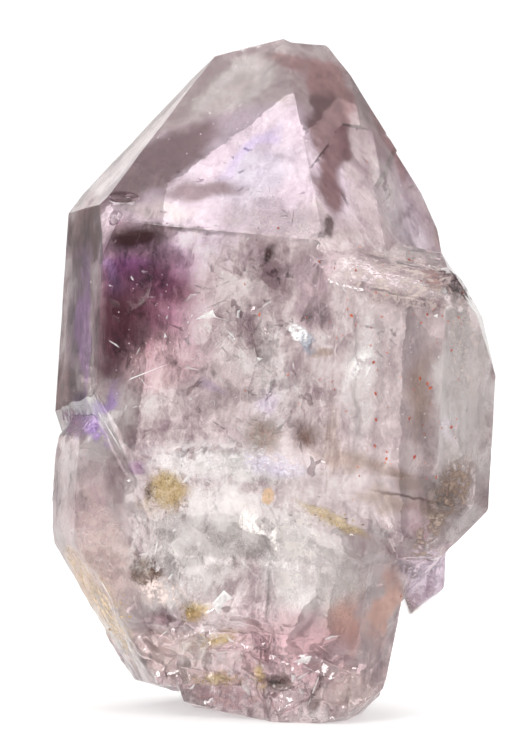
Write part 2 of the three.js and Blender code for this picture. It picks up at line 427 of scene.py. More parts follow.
def on_quartz(x, z):
    """Whether there is quartz behind a place and all round it, as seen from the front."""
    return all(
        met_from_front(skin, x + a, z + b) is not None
        for a, b in ((0.3, 0), (-0.3, 0), (0, 0.3), (0, -0.3))
    )


def strewn_place(chance, middle, half, spread, furthest):
    """A place drawn across and up round a middle, closer to it than to the edge."""
    x = middle[0] + half[0] * max(-furthest, min(furthest, chance.gauss(0, spread)))
    z = middle[1] + half[1] * max(-furthest, min(furthest, chance.gauss(0, spread)))
    return x, z


# Where the quartz is cracked: how many cracks, the middle of the cracked part, its half size,
# the depth it reaches behind the front face, and the widest crack.
CRACKED = [
    ("under the shoulder", 40, (-8.5, 23.5), (2.2, 4.2), 3.0, 0.7),
    ("middle", 90, (-2.6, 22.5), (3.6, 5.5), 4.5, 0.8),
    ("under the middle ledge", 36, (-3.5, 13.5), (4.5, 2.2), 3.0, 1.0),
    ("lower left", 40, (-6.0, 9.5), (3.4, 4.0), 3.5, 0.9),
    ("foot", 60, (-1.0, 4.0), (5.5, 2.4), 5.0, 1.0),
    ("top of the right crystal", 14, (6.3, 23.0), (2.2, 2.0), 2.5, 0.6),
    ("tip", 14, (-4.0, 31.0), (4.0, 3.0), 3.0, 0.4),
]

chance = random.Random(38)
cracks_bm = bmesh.new()
for where, count, middle, half, deep, widest in CRACKED:
    one_region = bmesh.new()
    for n in range(count):
        x, z = strewn_place(chance, middle, half, 0.5, 1.2)
        place = spot(x, z, 0.5 + deep * chance.random() ** 1.6)
        wide = widest * (0.18 + 0.82 * chance.random() ** 2.2)
        turn = Euler((chance.gauss(pi / 4, 0.55), chance.gauss(0, 0.5), chance.uniform(0, pi)))
        thick = 0.012 + 0.02 * chance.random()
        high = wide * chance.uniform(0.25, 0.8)
        open_crack(one_region, place, wide, high, thick, turn, n * 3.7)
    part = bpy.data.meshes.new("cracks " + where)
    one_region.to_mesh(part)
    one_region.free()
    cracks_bm.from_mesh(part)
    bpy.data.meshes.remove(part)
bmesh.ops.reverse_faces(cracks_bm, faces=cracks_bm.faces)
cracks = bpy.data.meshes.new("cracks")
cracks_bm.to_mesh(cracks)
cracks_bm.free()

crystal_bm.from_mesh(cracks)


def new_piece(name, bm, material, smooth=False):
    """Sets what was made in the crystals' own frame upright, as one object of the scene."""
    bmesh.ops.transform(bm, matrix=GROWN, verts=bm.verts)
    mesh = bpy.data.meshes.new(name)
    bm.to_mesh(mesh)
    bm.free()
    mesh.materials.append(material)
    if smooth:
        for polygon in mesh.polygons:
            polygon.use_smooth = True
    piece = bpy.data.objects.new(name, mesh)
    scene.collection.objects.link(piece)
    return piece


# The quartz itself: pale, a little milky, with colour zones, smoky bands and stains, and a few patches
# of painted shade and painted highlight.
WHITE = (1.0, 0.955, 0.93)
MILK = (0.97, 0.91, 0.90)
PALE = (0.86, 0.75, 0.75)
GREY = (0.62, 0.51, 0.52)
MAUVE = (0.42, 0.31, 0.34)
DUSK = (0.22, 0.14, 0.16)
UMBER = (0.24, 0.14, 0.14)
GRAPE = (0.56, 0.32, 0.60)
SMOKE = (0.36, 0.26, 0.21)
TAWNY = (0.54, 0.41, 0.35)
BROWN = (0.10, 0.05, 0.035)
DAMSON = (0.12, 0.06, 0.13)
MAROON = (0.09, 0.025, 0.04)
INK = (0.03, 0.008, 0.008)
PLUM = (0.36, 0.13, 0.36)
VIOLET = (0.48, 0.34, 0.70)
LILAC = (0.74, 0.62, 0.88)
ORCHID = (0.82, 0.68, 0.80)
ROSE = (0.52, 0.27, 0.36)
BLUSH = (0.80, 0.56, 0.58)
WARM = (0.98, 0.76, 0.72)
APRICOT = (1.0, 0.66, 0.34)
OCHRE = (0.64, 0.47, 0.17)
SLATE = (0.30, 0.29, 0.33)
STREAK = (0.72, 0.60, 0.64)
RUSSET = (0.46, 0.26, 0.26)
OXBLOOD = (0.15, 0.07, 0.075)
CREAM = (0.66, 0.43, 0.25)
SIENNA = (0.84, 0.46, 0.36)
PERIWINKLE = (0.62, 0.58, 0.72)
LAVENDER = (0.66, 0.56, 0.95)
HEATHER = (0.44, 0.36, 0.42)
GLASS = (1.0, 1.0, 0.98)
BLOSSOM = (1.0, 0.84, 1.0)

# Colour patches seen on the front: what, place across and up, half size across and up,
# turn in degrees, colour, strength, and how soft the edge is.
SOFT_PATCHES = [
    ("satin of the right crystal", 6.6, 19.4, 4.4, 8.4, 0, PALE, 0.4, 0.5),
    ("broad tip", -3.6, 32.6, 9.5, 7.0, 38, ORCHID, 0.9, 0.4),
    # partly clearer quartz, partly painted light that makes the top of the tip lighter
    ("clear top of the tip, painted lighter", -4.0, 37.3, 3.4, 1.3, 40, WHITE, 0.9, 0.6),
    ("dull upper left of the tip", -7.8, 32.4, 4.6, 1.35, 37, DUSK, 1.0, 0.3),
    ("upper edge of the tip", -4.6, 36.2, 3.0, 0.5, 44, PALE, 0.5, 0.9),
    ("bright middle of the tip", -2.6, 31.8, 2.8, 1.6, 38, PERIWINKLE, 0.9, 0.6),
    ("lilac gleam", -3.0, 33.6, 2.4, 0.45, 46, LAVENDER, 0.9, 0.7),
    ("band across the tip", -6.0, 30.8, 3.0, 0.6, 6, DUSK, 0.95, 0.6),
    ("grey left foot of the tip", -7.6, 29.6, 2.2, 0.5, -8, PALE, 0.9, 0.7),
    ("foot of the tip", -1.6, 29.3, 3.6, 1.1, -6, HEATHER, 0.9, 0.8),
    # painted shade on the step of the right crystal: darkens the bright band where light comes through
    # the shelf
    ("shade under the step", 6.2, 25.4, 4.4, 0.9, -8, DUSK, 0.95, 0.6),
    ("painted shade on top of the step", 6.4, 26.6, 4.4, 1.0, -8, MAUVE, 0.95, 0.6),
    ("summit", -1.2, 38.6, 1.6, 0.6, 0, RUSSET, 0.8, 0.8),
    ("right of the summit", 1.6, 37.0, 2.2, 1.5, -50, RUSSET, 0.95, 0.5),
    ("right of the ridge", 1.4, 34.8, 1.3, 3.8, 5, OXBLOOD, 1.0, 0.35),
    ("right of the ridge, lower", 1.5, 31.8, 0.9, 2.6, 5, OXBLOOD, 1.0, 0.4),
    ("dusky right shoulder", 5.4, 34.0, 3.4, 0.5, -56, RUSSET, 0.9, 0.7),
    ("pale middle of the right tip", 5.8, 30.2, 3.4, 2.0, -50, MILK, 0.95, 0.8),
    ("right edge of the tip", 8.2, 29.4, 0.4, 2.6, -24, TAWNY, 0.6, 0.8),
    ("dark outline on the right tip", 5.0, 31.9, 0.3, 1.2, 25, DUSK, 0.8, 0.6),
    ("wisp on the right tip", 6.2, 30.2, 0.2, 1.8, -35, DUSK, 0.7, 0.8),
    ("left face, top", -12.4, 28.0, 1.1, 2.8, 0, UMBER, 1.0, 0.5),
    ("left face, middle", -12.7, 23.6, 1.2, 3.6, 0, MAUVE, 0.9, 0.6),
    ("left face, violet band", -12.1, 22.6, 0.45, 4.6, 4, GRAPE, 0.95, 0.6),
    ("left face, pale stripe", -11.6, 24.0, 0.2, 3.6, 3, PALE, 0.8, 0.8),
    ("left shoulder under the face", -12.2, 17.4, 1.9, 1.2, 10, DAMSON, 1.0, 0.5),
    ("violet under the face", -11.4, 16.8, 0.9, 0.6, -40, VIOLET, 0.9, 0.7),
    ("left face, low", -13.1, 18.8, 1.0, 2.6, 0, UMBER, 0.9, 0.6),
    ("plum all over the shoulder", -8.8, 24.2, 3.0, 4.6, 12, ROSE, 0.8, 0.8),
    ("dusk under the tip", -8.8, 27.2, 2.4, 1.2, -10, DUSK, 0.8, 0.8),
    ("plum below the corner", -9.7, 26.2, 1.5, 0.9, 25, PLUM, 0.9, 0.8),
    ("violet by the edge", -10.6, 26.0, 0.4, 1.2, 12, VIOLET, 0.6, 0.8),
    ("maroon mass", -9.3, 23.6, 2.0, 2.4, -8, MAROON, 0.85, 0.8),
    ("maroon to the right", -7.6, 25.1, 2.0, 1.0, -15, MAROON, 0.85, 0.8),
    ("maroon edge", -10.4, 20.8, 1.1, 2.2, 15, MAROON, 0.5, 0.7),
    ("maroon wisps", -8.4, 22.3, 1.8, 0.5, -35, DUSK, 0.8, 0.8),
    ("rose veil below", -7.4, 20.6, 2.2, 1.6, -30, WARM, 0.7, 0.9),
    ("maroon cells", -9.8, 23.6, 1.4, 1.1, -20, MAROON, 0.8, 0.9),
    ("maroon corner", -10.8, 20.0, 0.6, 0.9, 15, MAROON, 0.35, 0.8),
    ("violet glint", -4.8, 19.6, 0.7, 0.3, -20, VIOLET, 0.8, 0.8),
    ("mottled middle", -4.2, 19.8, 3.0, 2.8, 0, GREY, 0.6, 0.9),
    ("pale strip of the middle", -0.8, 20.2, 1.4, 3.4, 8, MILK, 0.7, 0.8),
    ("smooth dull pane", 1.0, 25.2, 1.5, 2.8, 0, MAUVE, 0.85, 0.4),
    ("dark bits", -1.7, 27.3, 0.35, 0.8, 10, INK, 0.8, 0.8),
    ("shade by the lens", 1.8, 21.9, 0.6, 0.25, 0, SMOKE, 0.8, 0.8),
    ("slate patch", -1.4, 16.9, 0.9, 1.0, 0, SMOKE, 0.85, 0.7),
    ("lilac by the slate", -1.2, 18.6, 0.6, 0.8, -20, LILAC, 0.6, 0.9),
    ("smoke between", 1.1, 16.7, 1.2, 1.1, 0, BROWN, 0.75, 0.9),
    ("smoke along the step", 2.4, 17.0, 0.4, 3.0, 0, SMOKE, 0.5, 0.9),
    ("pale left of the right crystal", 4.2, 20.6, 1.0, 4.6, 0, MILK, 0.75, 0.8),
    ("smoky streak", 7.2, 20.2, 0.9, 2.4, -6, TAWNY, 0.9, 1.0),
    # painted highlight: a light band along the edge between the right crystal's front and side faces
    ("painted highlight along the right crystal's edge", 8.5, 20.0, 0.35, 5.6, 0, WHITE, 0.9, 0.8),
    ("grey top of the right crystal", 6.6, 23.6, 1.8, 1.2, 0, PALE, 0.6, 0.9),
    ("smoky corner, inner", 8.6, 12.5, 0.5, 1.3, 20, BROWN, 0.8, 0.9),
    ("smoky corner", 9.5, 14.3, 0.7, 1.3, 10, BROWN, 0.75, 0.8),
    ("smoky right face", 11.8, 17.2, 0.2, 3.4, 0, TAWNY, 0.4, 0.9),
    ("grey right face", 9.3, 16.0, 0.4, 2.4, 2, TAWNY, 0.6, 0.9),
    ("clear right face", 10.3, 20.8, 1.6, 6.0, 0, WHITE, 1.0, 0.8),
    ("brown arc", 3.8, 15.8, 2.6, 0.7, -14, SMOKE, 0.85, 0.9),
    ("brown arc, right", 7.0, 14.5, 1.6, 0.6, -20, SMOKE, 0.85, 0.9),
    ("ledge shade", 6.6, 13.2, 3.0, 0.6, -10, SMOKE, 0.85, 0.9),
    ("white veil under the middle", -3.8, 15.2, 4.2, 0.9, 2, WHITE, 1.0, 0.6),
    ("violet end of the veil", -0.8, 14.9, 0.9, 0.4, 0, LILAC, 0.6, 0.9),
    ("pale lower left", -5.0, 9.6, 3.6, 2.6, -20, WHITE, 0.9, 0.9),
    ("pale below the ledge", -2.6, 11.8, 3.8, 1.8, -10, WHITE, 1.0, 0.9),
    ("lower left, top", -12.4, 14.2, 1.0, 2.0, 0, PALE, 0.8, 0.8),
    ("lower left, rose", -11.0, 11.8, 1.6, 2.4, 10, BLUSH, 0.6, 0.9),
    ("lower left, pale", -10.4, 8.8, 2.0, 2.6, 30, WARM, 1.0, 0.9),
    ("lower left brown spot", -7.7, 8.7, 0.75, 0.65, 0, INK, 1.0, 0.5),
    ("peach below the spot", -6.9, 7.3, 1.6, 0.8, -10, WHITE, 1.0, 0.8),
    ("brown cluster", -7.8, 13.3, 0.4, 0.6, 0, BROWN, 0.8, 0.8),
    ("violet strip", -11.2, 17.6, 0.35, 1.9, -38, VIOLET, 0.8, 0.7),
    ("pale strip along it", -10.6, 17.2, 0.25, 2.2, -38, MILK, 0.8, 0.7),
    ("stain by the clay", -8.0, 12.4, 0.9, 0.5, -30, OCHRE, 0.4, 0.9),
    ("stem glow", 0.5, 10.0, 1.4, 3.4, 3, GLASS, 1.0, 0.9),
    ("pale stem", 2.6, 9.2, 2.6, 3.0, 0, WHITE, 0.85, 0.8),
    ("rose stem foot", 1.4, 5.2, 2.8, 1.2, 0, BLUSH, 0.85, 0.9),
    ("dusky stem", 3.8, 6.6, 1.2, 1.4, 0, SIENNA, 0.6, 0.9),
    ("stem edge", 6.4, 7.6, 0.7, 2.6, -8, SIENNA, 0.9, 0.9),
    ("rosy foot", -1.0, 3.2, 7.5, 3.4, 0, BLUSH, 0.55, 0.6),
    ("pale foot", -6.2, 3.8, 2.4, 1.8, 0, WARM, 0.95, 0.9),
    ("pale foot to the right", 4.6, 2.4, 1.8, 1.4, 0, WARM, 0.9, 0.9),
    ("foot stain one", -5.0, 6.4, 0.8, 0.5, 0, OCHRE, 0.8, 0.6),
    ("foot stain two", -3.6, 4.9, 1.3, 0.3, 15, OCHRE, 0.6, 0.7),
    ("foot stain three", -3.4, 2.6, 1.3, 0.25, 0, OCHRE, 0.6, 0.7),
    ("foot stain four", -0.9, 2.9, 0.25, 0.7, 15, OCHRE, 0.8, 0.5),
    ("left edge stain", -10.9, 6.2, 4.0, 1.0, -56, CREAM, 0.95, 0.8),
    ("small crystal", 8.6, 8.8, 1.6, 2.4, 0, BLOSSOM, 1.0, 0.4),
]
CRISP_PATCHES = [
    ("pit at the ridge foot", 1.75, 29.1, 0.3, 0.75, 4, INK, 0.95, 0.5),
    ("dark corner under the tip", -9.4, 27.9, 2.2, 0.8, 10, INK, 1.0, 0.7),
    ("dark line under the tip", -6.2, 28.5, 3.0, 0.2, -3, INK, 0.7, 0.8),
    ("slate lens", 0.75, 22.4, 0.35, 0.65, 20, SLATE, 0.9, 0.5),
    ("step shadow", 8.1, 25.8, 0.8, 0.45, -15, BROWN, 0.8, 0.6),
    ("purple cell", -8.6, 14.6, 0.6, 0.45, 0, PLUM, 0.7, 0.5),
    ("clay", -6.75, 13.4, 1.0, 1.1, 0, OCHRE, 0.95, 0.4),
    ("orange window", -0.95, 13.35, 0.38, 0.5, 0, APRICOT, 1.0, 0.25),
    # painted shade: a thin dark line along the ledge, the crisp edge of the ledge shade
    ("ledge line", 7.7, 13.7, 2.9, 0.12, -7, BROWN, 0.95, 0.6),
    ("ledge stain", 2.9, 12.2, 2.4, 0.3, -24, OCHRE, 0.7, 0.5),
    ("dark foot window", 0.3, 2.7, 0.8, 0.55, 0, BROWN, 0.9, 0.5),
    ("foot window", 2.3, 1.9, 0.4, 1.0, -15, BROWN, 0.7, 0.4),
]
PATCH_DEEP = 3.6
SIDE_PATCH_DEEP = 8.0
SIDES_FROM = 9.4

quartz = new_material("amethyst quartz", IOR=1.544, Transmission_Weight=0.75)


def mapped(tree, where, **values):
    return node(tree, "Mapping", Vector=where, **values).outputs[0]


def cloudy(tree, where, scale, detail=2.0, **more):
    """Cloudy noise, from 0 to 1."""
    return node(tree, "TexNoise", Vector=where, Scale=scale, Detail=detail, **more).outputs["Fac"]


def mixed(tree, mask, under, over):
    """One colour laid over another as far as a mask says."""
    mix = node(tree, "Mix", data_type="RGBA")
    feed(tree, mix.inputs[0], mask)
    for socket, colour in ((mix.inputs[6], under), (mix.inputs[7], over)):
        feed(tree, socket, (*colour, 1) if isinstance(colour, tuple) else colour)
    return mix.outputs[2]


def soaked(material, tint, density):
    """Clear colour in the body of a piece, which deepens as light goes further through it."""
    tree = material.node_tree
    inside = node(tree, "VolumeAbsorption", Color=(*tint, 1), Density=density)
    tree.links.new(inside.outputs[0], tree.nodes["Material Output"].inputs["Volume"])


def crystal_millimetres(tree):
    """Object coordinates turned to the crystals' own frame, in mm."""
    return mapped(
        tree, node(tree, "TexCoord").outputs["Object"], Scale=(1 / MM, 1 / MM, 1 / MM),
        Location=UNGROWN.to_translation(), Rotation=UNGROWN.to_euler(),
    )


def shaken(tree, where, amount, scale):
    """The same coordinates pushed about by noise, so that edges come out irregular."""
    stir = node(tree, "TexNoise", Vector=where, Scale=scale, Detail=1.0).outputs["Color"]
    centred = worked_out(tree, "VectorMath", "SUBTRACT", stir, (0.5, 0.5, 0.5)).outputs[0]
    scaled = worked_out(tree, "VectorMath", "SCALE", centred, Scale=amount).outputs[0]
    return worked_out(tree, "VectorMath", "ADD", where, scaled).outputs[0]


def patch_mask(tree, where, middle, half, turn, strength, soft):
    local = mapped(
        tree, where, vector_type="TEXTURE",
        Location=middle, Rotation=(0, radians(-turn), 0), Scale=half,
    )
    far = worked_out(tree, "VectorMath", "LENGTH", local).outputs["Value"]
    return band(tree, far, 1 + soft * 0.5, 1 - soft * 0.9, strength)


def swung(tree, tone, value, middle, amount, region=None):
    """The tone with a pattern's swing about its middle value added to it."""
    swing = maths(tree, "SUBTRACT", value, middle)
    if region is not None:
        swing = maths(tree, "MULTIPLY", swing, region)
    return maths(tree, "MULTIPLY_ADD", swing, amount, tone)


tree = quartz.node_tree
where = crystal_millimetres(tree)
loose = shaken(tree, shaken(tree, where, 1.28, 0.55), 0.36, 2.2)

# The tone of the quartz, from dull to milky: clouds all over, wisps along the growth, upright
# bands in the satiny right crystal, and broken panes with bright or dark edges elsewhere.
cloud = cloudy(tree, loose, 0.45, 4.0, Roughness=0.6, Distortion=0.6)
fibres = mapped(tree, loose, Rotation=(0, radians(24), 0), Scale=(2.6, 2.6, 0.6))
wisps = cloudy(tree, fibres, 1.1, 4.0, Roughness=0.75)
upright = mapped(tree, loose, Scale=(1.1, 0.6, 0.09))
bands = cloudy(tree, upright, 1.0, 3.0, Roughness=0.6)

satin = patch_mask(tree, where, (7.4, surface_at(7.4, 19), 19.4), (4.8, 6, 7.6), 0, 1.0, 0.25)
tips = patch_mask(tree, where, (-2, 0, 34), (14, 14, 6.4), -6, 0.75, 0.3)
stem = patch_mask(tree, where, (2.9, surface_at(3, 8.0), 8.0), (3.6, 5, 4.6), 0, 1.0, 0.4)
shoulder = patch_mask(tree, where, spot(-9, 24), (3.6, 5, 5.4), 0, 1.0, 0.5)
calm = maths(tree, "MAXIMUM", satin, stem)
broken_up = maths(tree, "SUBTRACT", 1, maths(tree, "ADD", calm, tips, use_clamp=True))
wispy = node(tree, "MapRange", Value=broken_up, To_Min=0.35).outputs[0]

tone = swung(tree, 0.5, cloud, 0.44, 1.5, wispy)
tone = swung(tree, tone, bands, 0.48, 1.2, satin)
tone = swung(tree, tone, wisps, 0.5, 0.66, wispy)
tone = swung(tree, tone, wisps, 0.5, 1.8, shoulder)
tilted = mapped(
    tree, shaken(tree, where, 0.64, 0.9),
    Rotation=(0, radians(28), radians(10)), Scale=(1.0, 0.5, 0.55),
)
face_on = mapped(tree, tilted, Rotation=(radians(-90), 0, 0))
# size of the panes, how much their tones differ, and whether they lie in depth or flat
for size, amount, kind, lie in (
    (0.42, 0.3, "3D", tilted), (0.9, 0.34, "3D", tilted), (2.1, 0.24, "2D", face_on)
):
    panes = node(
        tree, "TexVoronoi", feature="F1", voronoi_dimensions=kind, Vector=lie, Scale=size
    )
    of_pane = node(tree, "SeparateXYZ", Vector=panes.outputs["Color"])
    tone = swung(tree, tone, of_pane.outputs["X"], 0.5, amount, broken_up)
edges = node(
    tree, "TexVoronoi", feature="DISTANCE_TO_EDGE", voronoi_dimensions="2D",
    Vector=face_on, Scale=0.75,
)
at_edge = band(tree, edges.outputs["Distance"], 0.045, 0.01, 1.0)
bright_or_dark = cloudy(tree, where, 0.9, 4.0)
of_edge = maths(tree, "MULTIPLY", at_edge, broken_up)
tone = swung(tree, tone, bright_or_dark, 0.46, 1.6, of_edge)
pepper = cloudy(tree, where, 7.0, Roughness=0.7)
tone = swung(tree, tone, pepper, 0.5, 0.3, broken_up)

ramp = node(tree, "ValToRGB", Fac=tone)
steps = ramp.color_ramp.elements
steps[0].position, steps[0].color = 0.1, (*DUSK, 1)
steps[1].position, steps[1].color = 1.0, (*MILK, 1)
for place, shade in ((0.3, MAUVE), (0.5, GREY), (0.72, PALE)):
    step = steps.new(place)
    step.color = (*shade, 1)

# Over that lie the coloured patches, in which the same tones show as lighter and darker.
soft_tint = node(tree, "Attribute", attribute_name="tint")
lighter = node(tree, "MapRange", Value=tone, To_Min=0.25, To_Max=1.75).outputs[0]
shaded = worked_out(tree, "VectorMath", "SCALE", soft_tint.outputs["Color"], Scale=lighter)
less = maths(tree, "MULTIPLY_ADD", wisps, 0.9, soft_tint.outputs["Alpha"])
given = band(tree, less, 0.5, 1.3, 1.0)
colour = mixed(tree, given, ramp.outputs["Color"], shaded.outputs[0])
a_little_loose = shaken(tree, shaken(tree, where, 0.4, 0.9), 0.28, 3.0)
for name, x, z, wide, high, turn, tint, strength, soft in CRISP_PATCHES:
    half = (wide, PATCH_DEEP, high)
    mask = patch_mask(tree, a_little_loose, spot(x, z), half, turn, strength, soft)
    colour = mixed(tree, mask, colour, tint)
streaked = band(tree, wisps, 0.575, 0.72, 0.4)
colour = mixed(tree, maths(tree, "MULTIPLY", streaked, broken_up), colour, STREAK)

depth_in = node(tree, "SeparateXYZ", Vector=where)
duller_behind = band(tree, depth_in.outputs["Y"], 1.0, 7.0, 0.16)
frosted = patch_mask(tree, where, (-12.5, 3, 9.5), (3.6, 8, 9.0), -12, 0.35, 0.6)
low_relief = node(
    tree, "Bump", Strength=0.16, Distance=0.05 * MM, Height=cloudy(tree, where, 2.4)
)
dress(
    quartz, Base_Color=colour, Roughness=maths(tree, "MAXIMUM", duller_behind, frosted),
    Normal=low_relief.outputs[0],
)
soaked(quartz, (0.86, 0.79, 0.80), 30)

crystal = new_piece("amethyst_crystal", crystal_bm, quartz, smooth=True)
crystal.data.set_sharp_from_angle(angle=radians(20))


def stirred(p):
    return p + noise.noise_vector(p * 0.55) * 0.7 + noise.noise_vector(p * 1.7) * 0.3


def soft_tints(mesh):
    """Lays the soft colour patches one over the other and keeps the result on the mesh."""
    at = numpy.array([stirred(UNGROWN @ v.co) for v in mesh.vertices])
    colour = numpy.full((len(at), 3), 0.7)
    cover = numpy.zeros(len(at))
    for name, x, z, wide, high, turn, tint, strength, soft in SOFT_PATCHES:
        away = at - numpy.array(stirred(spot(x, z)))
        c, s = cos(radians(turn)), sin(radians(turn))
        across = (away[:, 0] * c + away[:, 2] * s) / wide
        up = (away[:, 2] * c - away[:, 0] * s) / high
        depth = PATCH_DEEP if abs(x) < SIDES_FROM else SIDE_PATCH_DEEP
        far = numpy.sqrt(across**2 + up**2 + (away[:, 1] / depth) ** 2)
        t = numpy.clip((1 + soft * 0.5 - far) / (soft * 1.4), 0, 1)
        share = t * t * (3 - 2 * t) * strength
        total = share + cover * (1 - share)
        weight = numpy.divide(share, total, out=numpy.zeros_like(share), where=total > 0.001)
        colour += (numpy.array(tint) - colour) * weight[:, None]
        cover = total
    layer = mesh.attributes.new("tint", "FLOAT_COLOR", "POINT")
    layer.data.foreach_set("color", numpy.column_stack((colour, cover)).ravel())


soft_tints(crystal.data)
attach(crystal, "root")
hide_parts("amethyst_cluster")

# The colour zones: amethyst grew darker under the upper left corner. Each zone is the same
# quartz with more colour in it, so it has no surface of its own, only a deeper tint.
FRONT_AZIMUTH = radians(-15)
LEFT_AZIMUTH = radians(-75)
UNDER_THE_SURFACE = 0.12
FRONT_FACE_AT = 2.9
STEM_FACE_AT = 1.7
LEFT_FACE_AT = 10.82
LEFT_PART_FROM = -6
LOW_PART_BELOW = 12
TIP_FACE = Vector((-0.1768, -0.7657, 0.6184))
TIP_FACE_AT = 19.795

# what, middle across and up, how deep its middle lies, half sizes, tint, and strength per metre
ZONES = [
    ("maroon_zone", (-10.2, 22.6), 0.9, (2.6, 1.5, 3.6), (0.55, 0.20, 0.35), 650),
    ("plum_zone", (-8.8, 26.2), 1.3, (3.0, 1.6, 2.0), (0.58, 0.34, 0.62), 520),
    ("rose_zone", (-7.4, 23.2), 2.2, (3.4, 1.8, 4.4), (0.80, 0.52, 0.68), 300),
    ("left_zone", (-12.1, 23.6), 2.4, (1.2, 3.0, 5.4), (0.50, 0.38, 0.50), 900),
    ("stem_zone", (1.6, 4.6), 3.0, (4.4, 2.4, 2.2), (0.90, 0.60, 0.68), 120),
    ("small_zone", (8.5, 9.0), 1.0, (1.0, 0.8, 1.4), (0.82, 0.66, 0.90), 120),
]


def level_direction(azimuth):
    return Vector((sin(azimuth), -cos(azimuth), 0))


def trimmed(bm, direction, distance):
    """Cuts away what lies beyond a face of the crystal and closes the cut."""
    everything = [*bm.verts, *bm.edges, *bm.faces]
    cut = bmesh.ops.bisect_plane(
        bm, geom=everything, dist=0.0001, clear_outer=True,
        plane_co=direction * (distance - UNDER_THE_SURFACE), plane_no=direction,
    )["geom_cut"]
    rim = [e for e in cut if isinstance(e, bmesh.types.BMEdge)]
    if rim:
        bmesh.ops.holes_fill(bm, edges=rim, sides=0)


for name, middle, deep, half, tint, strength in ZONES:
    bm = bmesh.new()
    bmesh.ops.create_icosphere(bm, subdivisions=4, radius=1)
    for v in bm.verts:
        swell = 1 + 0.35 * noise.noise(v.co * 1.6 + Vector(half))
        v.co = Vector((v.co.x * half[0], v.co.y * half[1], v.co.z * half[2])) * swell
        v.co += spot(*middle, deep)
    if name != "small_zone":
        front = FRONT_FACE_AT if middle[1] > LOW_PART_BELOW else STEM_FACE_AT
        trimmed(bm, level_direction(FRONT_AZIMUTH), front)
    if middle[0] < LEFT_PART_FROM:
        trimmed(bm, level_direction(LEFT_AZIMUTH), LEFT_FACE_AT)
        trimmed(bm, TIP_FACE, TIP_FACE_AT)
    bmesh.ops.recalc_face_normals(bm, faces=bm.faces)
    deeper = new_material(
        name.replace("_", " "), Base_Color=(1, 1, 1, 1), Roughness=0, IOR=1.0,
        Transmission_Weight=1.0,
    )
    soaked(deeper, tint, strength)
    zone = new_piece(name, bm, deeper, smooth=True)
    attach(zone, "root")

# The veils: healed cracks full of tiny bubbles, which hang in the quartz like torn gauze.
# Each is one bent sheet, thin and whitish, dense in streaks and open between them.
# what, middle across and up, depth, half size, lean, thickness of the haze
VEILS = [
    ("ledge", (-3.6, 15.2), 0.25, (4.2, 1.1), (0.1, 0.1, 0.05), 3.6),
    ("ledge_low", (-1.5, 14.4), 0.5, (3.4, 0.8), (-0.3, 0.0, 0.0), 1.3),
    ("middle_near", (-3.4, 22.0), 0.8, (3.2, 4.6), (0.3, -0.2, 0.2), 0.6),
    ("middle_far", (-2.6, 21.0), 2.2, (3.8, 4.8), (-0.35, 0.3, -0.3), 0.7),
    ("middle_top", (-1.4, 26.0), 1.2, (2.6, 1.9), (0.5, 0.1, 0.3), 0.7),
    ("shoulder", (-7.4, 24.0), 0.7, (2.4, 3.6), (0.2, 0.4, 0.5), 0.35),
    ("pane", (1.2, 19.6), 1.6, (1.8, 2.6), (0.3, 0.3, 0.0), 0.7),
    ("right_haze", (5.4, 20.0), 2.0, (3.4, 5.4), (0.1, -0.15, 0.0), 0.55),
    ("right_top", (6.8, 24.4), 0.9, (1.8, 1.2), (0.5, 0.0, 0.2), 0.5),
    ("right_foot", (6.0, 15.4), 1.2, (3.2, 1.6), (-0.4, 0.0, -0.1), 0.5),
    ("tip_low", (-1.8, 30.0), 0.8, (3.0, 1.3), (0.3, 0.1, 0.1), 0.5),
    ("tip_high", (-3.0, 34.0), 1.8, (2.6, 2.6), (0.2, 0.4, 0.6), 0.4),
    ("right_tip", (4.4, 31.0), 1.0, (2.8, 3.0), (0.2, -0.4, -0.5), 0.6),
    ("lower_left_near", (-6.6, 10.2), 0.6, (3.6, 3.8), (0.3, 0.2, 0.5), 0.8),
    ("lower_left_far", (-5.4, 9.0), 1.8, (4.4, 4.0), (-0.3, -0.2, 0.2), 1.0),
    ("lower_middle", (-2.2, 11.0), 0.4, (3.4, 2.8), (0.3, 0.0, -0.2), 1.6),
    ("stem_glow", (0.6, 10.2), 0.4, (1.4, 3.6), (0.0, 0.1, 0.0), 1.2),
    ("stem_far", (3.2, 8.8), 1.2, (2.8, 3.4), (0.2, -0.2, 0.2), 0.9),
    ("foot_near", (-3.6, 4.4), 0.5, (3.6, 2.2), (0.5, 0.1, 0.3), 0.6),
    ("foot_right", (1.8, 3.4), 0.8, (3.0, 2.0), (-0.5, 0.1, -0.2), 0.55),
]

gauze = new_material("healed crack gauze", Base_Color=(0.95, 0.88, 0.85, 1), Roughness=0.55)
tree = gauze.node_tree
torn = shaken(tree, shaken(tree, crystal_millimetres(tree), 1.44, 0.6), 0.4, 2.6)
drawn_out = mapped(tree, torn, Rotation=(0.3, radians(20), 0.2), Scale=(2.4, 2.4, 0.7))
dense = band(tree, cloudy(tree, drawn_out, 0.8, 5.0, Roughness=0.78), 0.35, 0.74, 1.0)
from_middle = mapped(
    tree, node(tree, "TexCoord").outputs["UV"], vector_type="TEXTURE",
    Location=(0.5, 0.5, 0), Scale=(0.5, 0.5, 1),
)
far = worked_out(tree, "VectorMath", "LENGTH", from_middle).outputs["Value"]
fading = maths(tree, "MULTIPLY", dense, band(tree, far, 1.0, 0.35, 1.0))
heavy = node(tree, "Attribute", attribute_name="haze").outputs["Fac"]
dress(gauze, Alpha=maths(tree, "MULTIPLY", fading, heavy, use_clamp=True))

